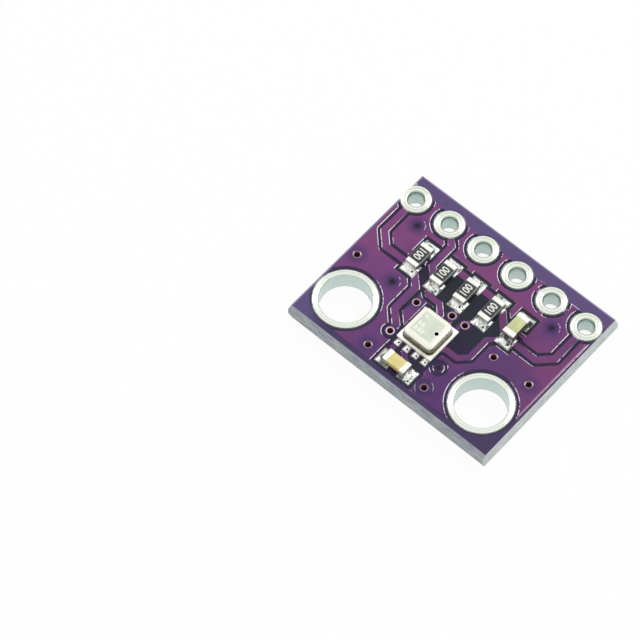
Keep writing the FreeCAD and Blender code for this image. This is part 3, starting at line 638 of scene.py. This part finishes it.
# Painted shade: the tall capacitor's terminals below their top, and the lower sides of terminals that face
# right, are painted dark.
shaded_tall_flank = plating.span(x, 2.5, 2.6) * plating.span(z, CHIP_FOOT + 0.70, CHIP_FOOT + 0.60)
turn_x, _, steepness = plating.slope("TexCoord", "Normal")
shaded_right_flank = plating.rise(turn_x, 0.70, 0.85) * plating.rise(steepness, 0.75, 0.92)
shaded_right_flank = shaded_right_flank * plating.span(z, CHIP_FOOT + 0.40, CHIP_FOOT + 0.32)
flank = plating.most([0.75 * shaded_tall_flank, 0.65 * shaded_right_flank])
plating.surface(Base_Color=plating.tint(flank, tin_colour, paint(78, 76, 76)), Metallic=0.75,
                Roughness=0.34 + 0.2 * scuffs, Normal=plating.bump(grain, 0.006))

glaze = grained("resistor_glaze", 0.06, 3, (paint(28, 30, 30), paint(58, 60, 56)),
                roughness=(0.3, 0.25), depth=0.006)
print_ink = grained("white_ink", 0.05, 2, (paint(222, 224, 216), paint(248, 248, 244)),
                    roughness=(0.6, 0.1))

for (label, shift, turn, number_turn), x in zip(RESISTORS, ROW_X):
    place = chip_place(x + shift, ROW_Y, turn)
    form = bmesh.new()
    slab(form, place, length=1.52, width=0.80, height=0.39, bevel=0.012, segments=2, lift=0.03)
    settle(f"{label}_block", form, ceramic, "white_ceramic", f"{label}_ceramic")
    form = bmesh.new()
    both_ends(form, place, RESISTOR_BAND, width=0.79, height=RESISTOR_HEIGHT, bevel=0.035, segments=3)
    settle(f"{label}_ends", form, plating, "terminal_tin", f"{label}_terminals")
    form = bmesh.new()
    slab(form, place, length=0.96, width=0.76, height=0.06, bevel=0.018, segments=3, lift=GLAZE_FOOT)
    settle(f"{label}_glaze", form, glaze, "overcoat", f"{label}_overcoat")
    form = printed_number("100")
    bmesh.ops.scale(form, vec=(0.70, 0.50, 0.006), verts=form.verts)
    lifted = Matrix.Translation((0, 0, GLAZE_TOP + 0.002))
    bmesh.ops.transform(form, matrix=chip_place(x + shift, ROW_Y, number_turn) @ lifted, verts=form.verts)
    settle(f"{label}_number", form, print_ink, "overcoat")


# Chip capacitors
# Two blocks of layered tan ceramic with dipped metal ends. The tall one closes the row beside the
# resistors, the flat one lies in front of the sensor.
CAPACITOR_BAND = 0.34
ROW_CAPACITOR_HEIGHT, FRONT_CAPACITOR_HEIGHT = 0.78, 0.46
# Each capacitor: its name, place, turn and height, and its top's two shades and its flank's colour;
# the row capacitor's dark flank is painted shade and reflection
CAPACITORS = (("row_capacitor", ROW_X[4] + 0.03, ROW_Y, 90, ROW_CAPACITOR_HEIGHT,
               (paint(198, 203, 146), paint(213, 217, 162), paint(66, 62, 66))),
              ("front_capacitor", -0.21, -4.70, 0, FRONT_CAPACITOR_HEIGHT,
               (paint(220, 200, 122), paint(232, 220, 148), paint(228, 206, 140))))

for label, x, y, turn, height, (shade, light, flank) in CAPACITORS:
    tan = finish(f"{label}_ceramic")
    *_, z = tan.axes()
    grain = tan.speckle(0.05, 3)
    patch = tan.speckle(0.5, 2)
    above = tan.span(z, CHIP_FOOT + height - 0.09, CHIP_FOOT + height - 0.04)
    top = tan.tint(tan.rise(patch, 0.35, 0.65), shade, light)
    # Painted shade: each side is painted darker towards its foot on the board.
    low = tan.span(z, CHIP_FOOT + 0.35 * height, CHIP_FOOT)
    side = tan.tint(0.8 * low, tan.tint(0.3 * grain, flank, paint(112, 100, 78)), paint(96, 84, 64))
    tan.surface(Base_Color=tan.tint(above, side, top), Roughness=0.32 + 0.2 * grain,
                Normal=tan.bump(grain, 0.006))
    place = chip_place(x, y, turn)
    form = bmesh.new()
    slab(form, place, length=1.50, width=0.74, height=height - 0.06, bevel=0.03, segments=3, lift=0.03)
    settle(f"{label}_block", form, tan, "tan_ceramic", f"{label}_ceramic")
    form = bmesh.new()
    both_ends(form, place, CAPACITOR_BAND, width=CHIP_WIDTH, height=height, bevel=0.06, segments=4)
    settle(f"{label}_ends", form, plating, "terminal_tin", f"{label}_terminals")


# Solder joints of the chips
# Solder paste melted on each land. It wets the chip's plated end and climbs it in a hollow curve,
# and freezes lumpy, with a small pit in the joints that face the sensor. The pits and a few patches
# are painted dark, as shade and dark reflection.
LAND_TOP = 1.355
LAND_OFFSET, LAND_ACROSS, LAND_ALONG = 0.80, 0.94, 0.86
CLIMB_SHARE = 0.72
CHIP_PITS = ((-3.47, 0.42), (-1.64, 0.36), (0.07, 0.45), (1.90, 0.36), (3.70, 0.38), (0.94, -5.09))
SENSOR_PITS = ((-1.04, -3.55), (-0.38, -3.56), (0.27, -3.56), (0.92, -3.55))
PIT_RADIUS, PIT_DEPTH = 0.05, 0.03
SHADE_SPOTS = ((-0.80, -5.16, 0.34), (-1.06, -4.86, 0.26), (0.40, -5.05, 0.32), (0.50, -4.42, 0.24),
           (3.42, 0.62, 0.20), (3.80, 2.24, 0.26))
PAINTED_PIT_SHADE = paint(22, 24, 24)

joint = finish("joint_solder")
grain = joint.speckle(0.34, 2)
veins = joint.rise(abs(joint.speckle(0.30, 2) - 0.5), 0.030, 0.008)
joint_colour = joint.tint(joint.rise(grain, 0.34, 0.46), paint(116, 126, 116), paint(240, 243, 236))
joint_colour = joint.tint(0.6 * veins, joint_colour, paint(64, 70, 64))
# Painted shade: dark patches in the joints, standing in for shade and dark reflections
painted_joint_shade = joint.most([joint.round_spot((x, y), radius, 0.6 * radius) for x, y, radius in SHADE_SPOTS])
joint_colour = joint.tint(0.85 * painted_joint_shade, joint_colour, paint(78, 84, 78))
# Painted shade: the pits are painted near black
pit_shade = joint.most([joint.round_spot(pit, 0.075, 0.045) for pit in CHIP_PITS])
joint.surface(Base_Color=joint.tint(pit_shade, joint_colour, PAINTED_PIT_SHADE), Metallic=0.85,
              Roughness=0.18 + 0.25 * grain, Normal=joint.bump(grain, 0.03))


def joint_form(form, land, outward, across, along, end, aside, climb, wide):
    """One joint, on a land that points outward from the chip.

    The chip's end stands at end along the land and aside off its line. It is wide across, and the
    solder wets it as high as climb.
    """
    corners = bmesh.ops.create_cube(form, size=1)["verts"]
    edges = list({edge for vert in corners for edge in vert.link_edges})
    bmesh.ops.subdivide_edges(form, edges=edges, cuts=15, use_grid_fill=True)
    fresh = [vert for vert in form.verts if not vert.tag]
    ahead = Vector(outward)
    sideways = Vector((-ahead.y, ahead.x))
    for vert in fresh:
        share = vert.co.z + 0.5
        round_off = 1 - 0.10 * (4 * abs(vert.co.x * vert.co.y)) ** 4
        off = vert.co.x * across * round_off
        out = vert.co.y * along * round_off
        place = Vector(land) + ahead * out + sideways * off
        inside = min(across / 2 - abs(off), along / 2 - out, along / 2 + out)
        beyond = out - end
        skin = 0.012 + 0.045 * (1 - math.exp(-inside / 0.06))
        fillet = math.exp(-beyond / 0.12) if beyond > 0 else math.exp(beyond / 0.015)
        beside = 1 / (1 + math.exp((abs(off - aside) - wide / 2) / 0.025))
        height = skin + climb * fillet * beside * min(1, inside / 0.05)
        if beyond > 0:
            lump = noise.noise(Vector((place.x, place.y, 0)) * 5) * 0.05
            lump += noise.noise(Vector((place.x, place.y, 3)) * 11) * 0.02
            height += max(lump, -0.03) * min(1, inside / 0.08)
        for pit in (*CHIP_PITS, *SENSOR_PITS):
            near = math.exp(-((place - Vector(pit)).length / PIT_RADIUS) ** 2)
            height -= PIT_DEPTH * near * min(1, height / 0.06)
        vert.co = (place.x, place.y, LAND_TOP + share * max(height, 0.008))
        vert.tag = True


# Each chip: its name, the middle and the direction of its lands, how far each of its two ends
# stands out and aside of them, and its height
SOLDERED_CHIPS = [(label, (x, ROW_Y), (0, 1), (0, 0), (-shift, shift), RESISTOR_HEIGHT)
                  for (label, shift, *_), x in zip(RESISTORS, ROW_X)]
SOLDERED_CHIPS += [
    ("row_capacitor", (ROW_X[4], ROW_Y), (0, 1), (0, 0), (-0.03, 0.03), ROW_CAPACITOR_HEIGHT),
    ("front_capacitor", (-0.12, -4.77), (1, 0), (-0.09, 0.09), (0.07, -0.07), FRONT_CAPACITOR_HEIGHT)]

for label, middle, direction, ends, asides, height in SOLDERED_CHIPS:
    form = bmesh.new()
    for sign, end, aside in zip((1, -1), ends, asides):
        outward = Vector(direction) * sign
        joint_form(form, Vector(middle) + outward * LAND_OFFSET, outward, LAND_ACROSS, LAND_ALONG,
                   end=CHIP_LENGTH / 2 - LAND_OFFSET + end, aside=aside, climb=CLIMB_SHARE * height,
                   wide=CHIP_WIDTH)
    settle(f"{label}_joints", form, joint, "solder", f"{label}_solder", sharp=60)


# Sensor
# A square of laminate carries two dies and is closed by a drawn metal lid with one small vent. It
# stands on eight solder lands; the four front ones reach out from under it.
SENSOR = (-0.12, -2.12)
SENSOR_SIDE, SENSOR_BASE = 2.50, 0.24
SENSOR_LAND_ACROSS, SENSOR_LAND_ALONG, SENSOR_PITCH = 0.35, 0.62, 0.65
LID_FOOT, LID_TOP, LID_SIDE, LID_WALL = 1.645, 2.333, 2.14, 0.10
BRIM_WIDTH, BRIM_THICKNESS = 0.055, 0.06
VENT, VENT_RADIUS = (SENSOR[0] + 0.62, SENSOR[1]), 0.125
# Each row of lands: where it lies, and which way it points out from under the sensor
SENSOR_ROWS = ((-3.40, -1), (-1.10, 1))

square_joint = finish("square_joint_solder")
grain = square_joint.speckle(0.2, 2)
# Painted shade: the pits are painted near black
pit_shade = square_joint.most([square_joint.round_spot(pit, 0.070, 0.045) for pit in SENSOR_PITS])
bright_tin = square_joint.tint(square_joint.rise(grain, 0.3, 0.5), paint(206, 210, 202),
                               paint(246, 247, 242))
square_joint.surface(Base_Color=square_joint.tint(pit_shade, bright_tin, PAINTED_PIT_SHADE), Metallic=0.7,
                     Roughness=0.26 + 0.2 * grain, Normal=square_joint.bump(grain, 0.012))
form = bmesh.new()
for y, sign in SENSOR_ROWS:
    for index in range(4):
        land = (SENSOR[0] + SENSOR_PITCH * (index - 1.5), y)
        edge = sign * (SENSOR[1] + sign * SENSOR_SIDE / 2 - y)
        joint_form(form, land, (0, sign), SENSOR_LAND_ACROSS, SENSOR_LAND_ALONG,
                   end=edge + 0.02, aside=0, climb=0.035, wide=SENSOR_LAND_ACROSS)
settle("sensor_joints", form, square_joint, "solder", "sensor_solder", sharp=60)

flange_paint = finish("sensor_flange")
*_, z = flange_paint.axes()
grain = flange_paint.speckle(0.08, 3)
# Painted shadow: the flange is dark along the foot of its sides, where it stands on the board.
flange_colour = flange_paint.tint(flange_paint.span(z, 1.42, 1.50), paint(150, 146, 120),
                                  paint(255, 254, 248))
flange_colour = flange_paint.tint(0.15 * grain, flange_colour, paint(214, 208, 180))
flange_paint.surface(Base_Color=flange_colour, Metallic=0.6, Roughness=0.4 + 0.2 * grain,
                     Normal=flange_paint.bump(grain, 0.006))
form = bmesh.new()
slab(form, chip_place(*SENSOR, 0), length=SENSOR_SIDE, width=SENSOR_SIDE, height=SENSOR_BASE,
     bevel=0.02, segments=2)
settle("sensor_flange", form, flange_paint, "sensor_laminate", "sensor_base")

silicon = grained("silicon", 0.06, 2, (paint(70, 74, 84), paint(96, 100, 110)),
                  roughness=(0.2, 0.2), depth=0.002, Metallic=0.6)
for label in ("readout_die", "sensing_die"):
    coat_as_built(label, silicon)

lid_metal = finish("lid_metal")
x, y, z = lid_metal.axes()
matt_square = lid_metal.most([abs(x - (SENSOR[0] - 0.03) * MM), abs(y - (SENSOR[1] + 0.02) * MM)])
matt_share = lid_metal.span(matt_square, 0.80, 0.68) * lid_metal.span(z, 2.31, 2.325)
grain = lid_metal.speckle(0.04, 3)
patch = lid_metal.speckle(0.6, 2)
# Painted shade and light: the lid is dark olive at its foot and grows paler upward to a near white crown.
lid_colour = lid_metal.tint(lid_metal.span(z, 1.72, 2.02), paint(50, 48, 36), paint(142, 138, 112))
lid_colour = lid_metal.tint(lid_metal.span(z, 2.00, 2.26), lid_colour, paint(244, 242, 230))
# Painted highlight: a pale line along the top of the brim, brightest at its outer edge.
brim = lid_metal.span(z, 1.68, 1.69) * lid_metal.span(z, 1.715, 1.708)
lid_square = lid_metal.most([abs(x - SENSOR[0] * MM), abs(y - SENSOR[1] * MM)])
brim_edge_highlight = lid_metal.span(lid_square, 1.090, 1.105)
lid_colour = lid_metal.tint(brim * (0.20 + 0.65 * brim_edge_highlight), lid_colour, paint(206, 200, 172))
matt_colour = lid_metal.tint(patch, paint(196, 206, 188), paint(220, 227, 210))
lid_colour = lid_metal.tint(matt_share, lid_colour, matt_colour)
vent_ring = lid_metal.round_spot(VENT, 0.19, 0.17) * matt_share
lid_colour = lid_metal.tint(0.6 * vent_ring, lid_colour, paint(244, 246, 240))
lid_metal.surface(Base_Color=lid_colour, Metallic=0.75 - 0.35 * matt_share,
                  Roughness=0.3 + 0.25 * matt_share, Normal=lid_metal.bump(grain, 0.003))


def drawn_form(side, foot, top, corner, crown):
    """A block as the press forms the sheet: rounded at its upright corners and round its top."""
    form = bmesh.new()
    bmesh.ops.create_cube(form, size=1)
    bmesh.ops.scale(form, vec=(side, side, top - foot), verts=form.verts)
    bmesh.ops.translate(form, vec=(*SENSOR, (top + foot) / 2), verts=form.verts)
    upright = [e for e in form.edges if abs(e.verts[0].co.z - e.verts[1].co.z) > (top - foot) / 2]
    bmesh.ops.bevel(form, geom=upright, offset=corner, offset_type="OFFSET", affect="EDGES", segments=8,
                    profile=0.5, material=-1)
    rim = [e for e in form.edges if min(v.co.z for v in e.verts) > top - 1e-5]
    bmesh.ops.bevel(form, geom=rim, offset=crown, offset_type="OFFSET", affect="EDGES", segments=8,
                    profile=0.5, material=-1)
    return form


def loose(name, form):
    """A helper object for a cut, in millimetres."""
    mesh = bpy.data.meshes.new(name)
    bmesh.ops.recalc_face_normals(form, faces=form.faces)
    form.to_mesh(mesh)
    form.free()
    made = bpy.data.objects.new(name, mesh)
    bpy.context.scene.collection.objects.link(made)
    return made


shell_form = drawn_form(LID_SIDE, LID_FOOT, LID_TOP, corner=0.35, crown=0.19)
brim_form = drawn_form(LID_SIDE + 2 * BRIM_WIDTH, LID_FOOT, LID_FOOT + BRIM_THICKNESS, corner=0.40,
                       crown=0.02)
punch_form = drawn_form(LID_SIDE - 2 * LID_WALL, LID_FOOT - 0.05, LID_TOP - LID_WALL, corner=0.25,
                        crown=0.06)
vent_form = bmesh.new()
bmesh.ops.create_cone(vent_form, cap_ends=True, segments=32, radius1=VENT_RADIUS, radius2=VENT_RADIUS,
                      depth=0.6)
bmesh.ops.translate(vent_form, vec=(*VENT, LID_TOP), verts=vent_form.verts)

shell = loose("shell", shell_form)
tools = [loose("brim", brim_form), loose("punch", punch_form), loose("vent", vent_form)]
for tool, operation in zip(tools, ("UNION", "DIFFERENCE", "DIFFERENCE")):
    step = shell.modifiers.new(tool.name, "BOOLEAN")
    step.operation = operation
    step.solver = "EXACT"
    step.object = tool
bpy.context.view_layer.update()
lid_mesh = bpy.data.meshes.new_from_object(shell.evaluated_get(bpy.context.evaluated_depsgraph_get()))
form = bmesh.new()
form.from_mesh(lid_mesh)
bpy.data.meshes.remove(lid_mesh)
for helper in (shell, *tools):
    bpy.data.objects.remove(helper)
settle("sensor_cover", form, lid_metal, "lid_metal", "sensor_lid")


# Marks on the lid
# A plain dot at one corner and two short rows of blank blocks, etched into the plating and a little
# brighter than the matt square round them.
BLOCKS = ((-0.555, -0.05), (-0.305, -0.05), (-0.555, -0.44), (-0.305, -0.44), (-0.07, -0.44))
BLOCK_WIDTH, BLOCK_LENGTH = 0.18, 0.28
DOT, DOT_RADIUS = (-0.50, 0.50), 0.10
MARK_THICKNESS = 0.0015
MARK_HEIGHT = LID_TOP + 0.001

etch = grained("etched_marks", 0.05, 2, (paint(226, 232, 216), paint(242, 245, 234)),
               roughness=(0.5, 0.1), Metallic=0.3)
form = bmesh.new()
for mark_x, mark_y in BLOCKS:
    block = bmesh.ops.create_cube(form, size=1)["verts"]
    bmesh.ops.scale(form, vec=(BLOCK_WIDTH, BLOCK_LENGTH, MARK_THICKNESS), verts=block)
    bmesh.ops.translate(form, vec=(SENSOR[0] + mark_x, SENSOR[1] + mark_y, MARK_HEIGHT), verts=block)
dot = bmesh.ops.create_cone(form, cap_ends=True, segments=24, radius1=DOT_RADIUS, radius2=DOT_RADIUS,
                            depth=MARK_THICKNESS)["verts"]
bmesh.ops.translate(form, vec=(SENSOR[0] + DOT[0], SENSOR[1] + DOT[1], MARK_HEIGHT), verts=dot)
settle("lid_marks", form, etch, "lid_metal")
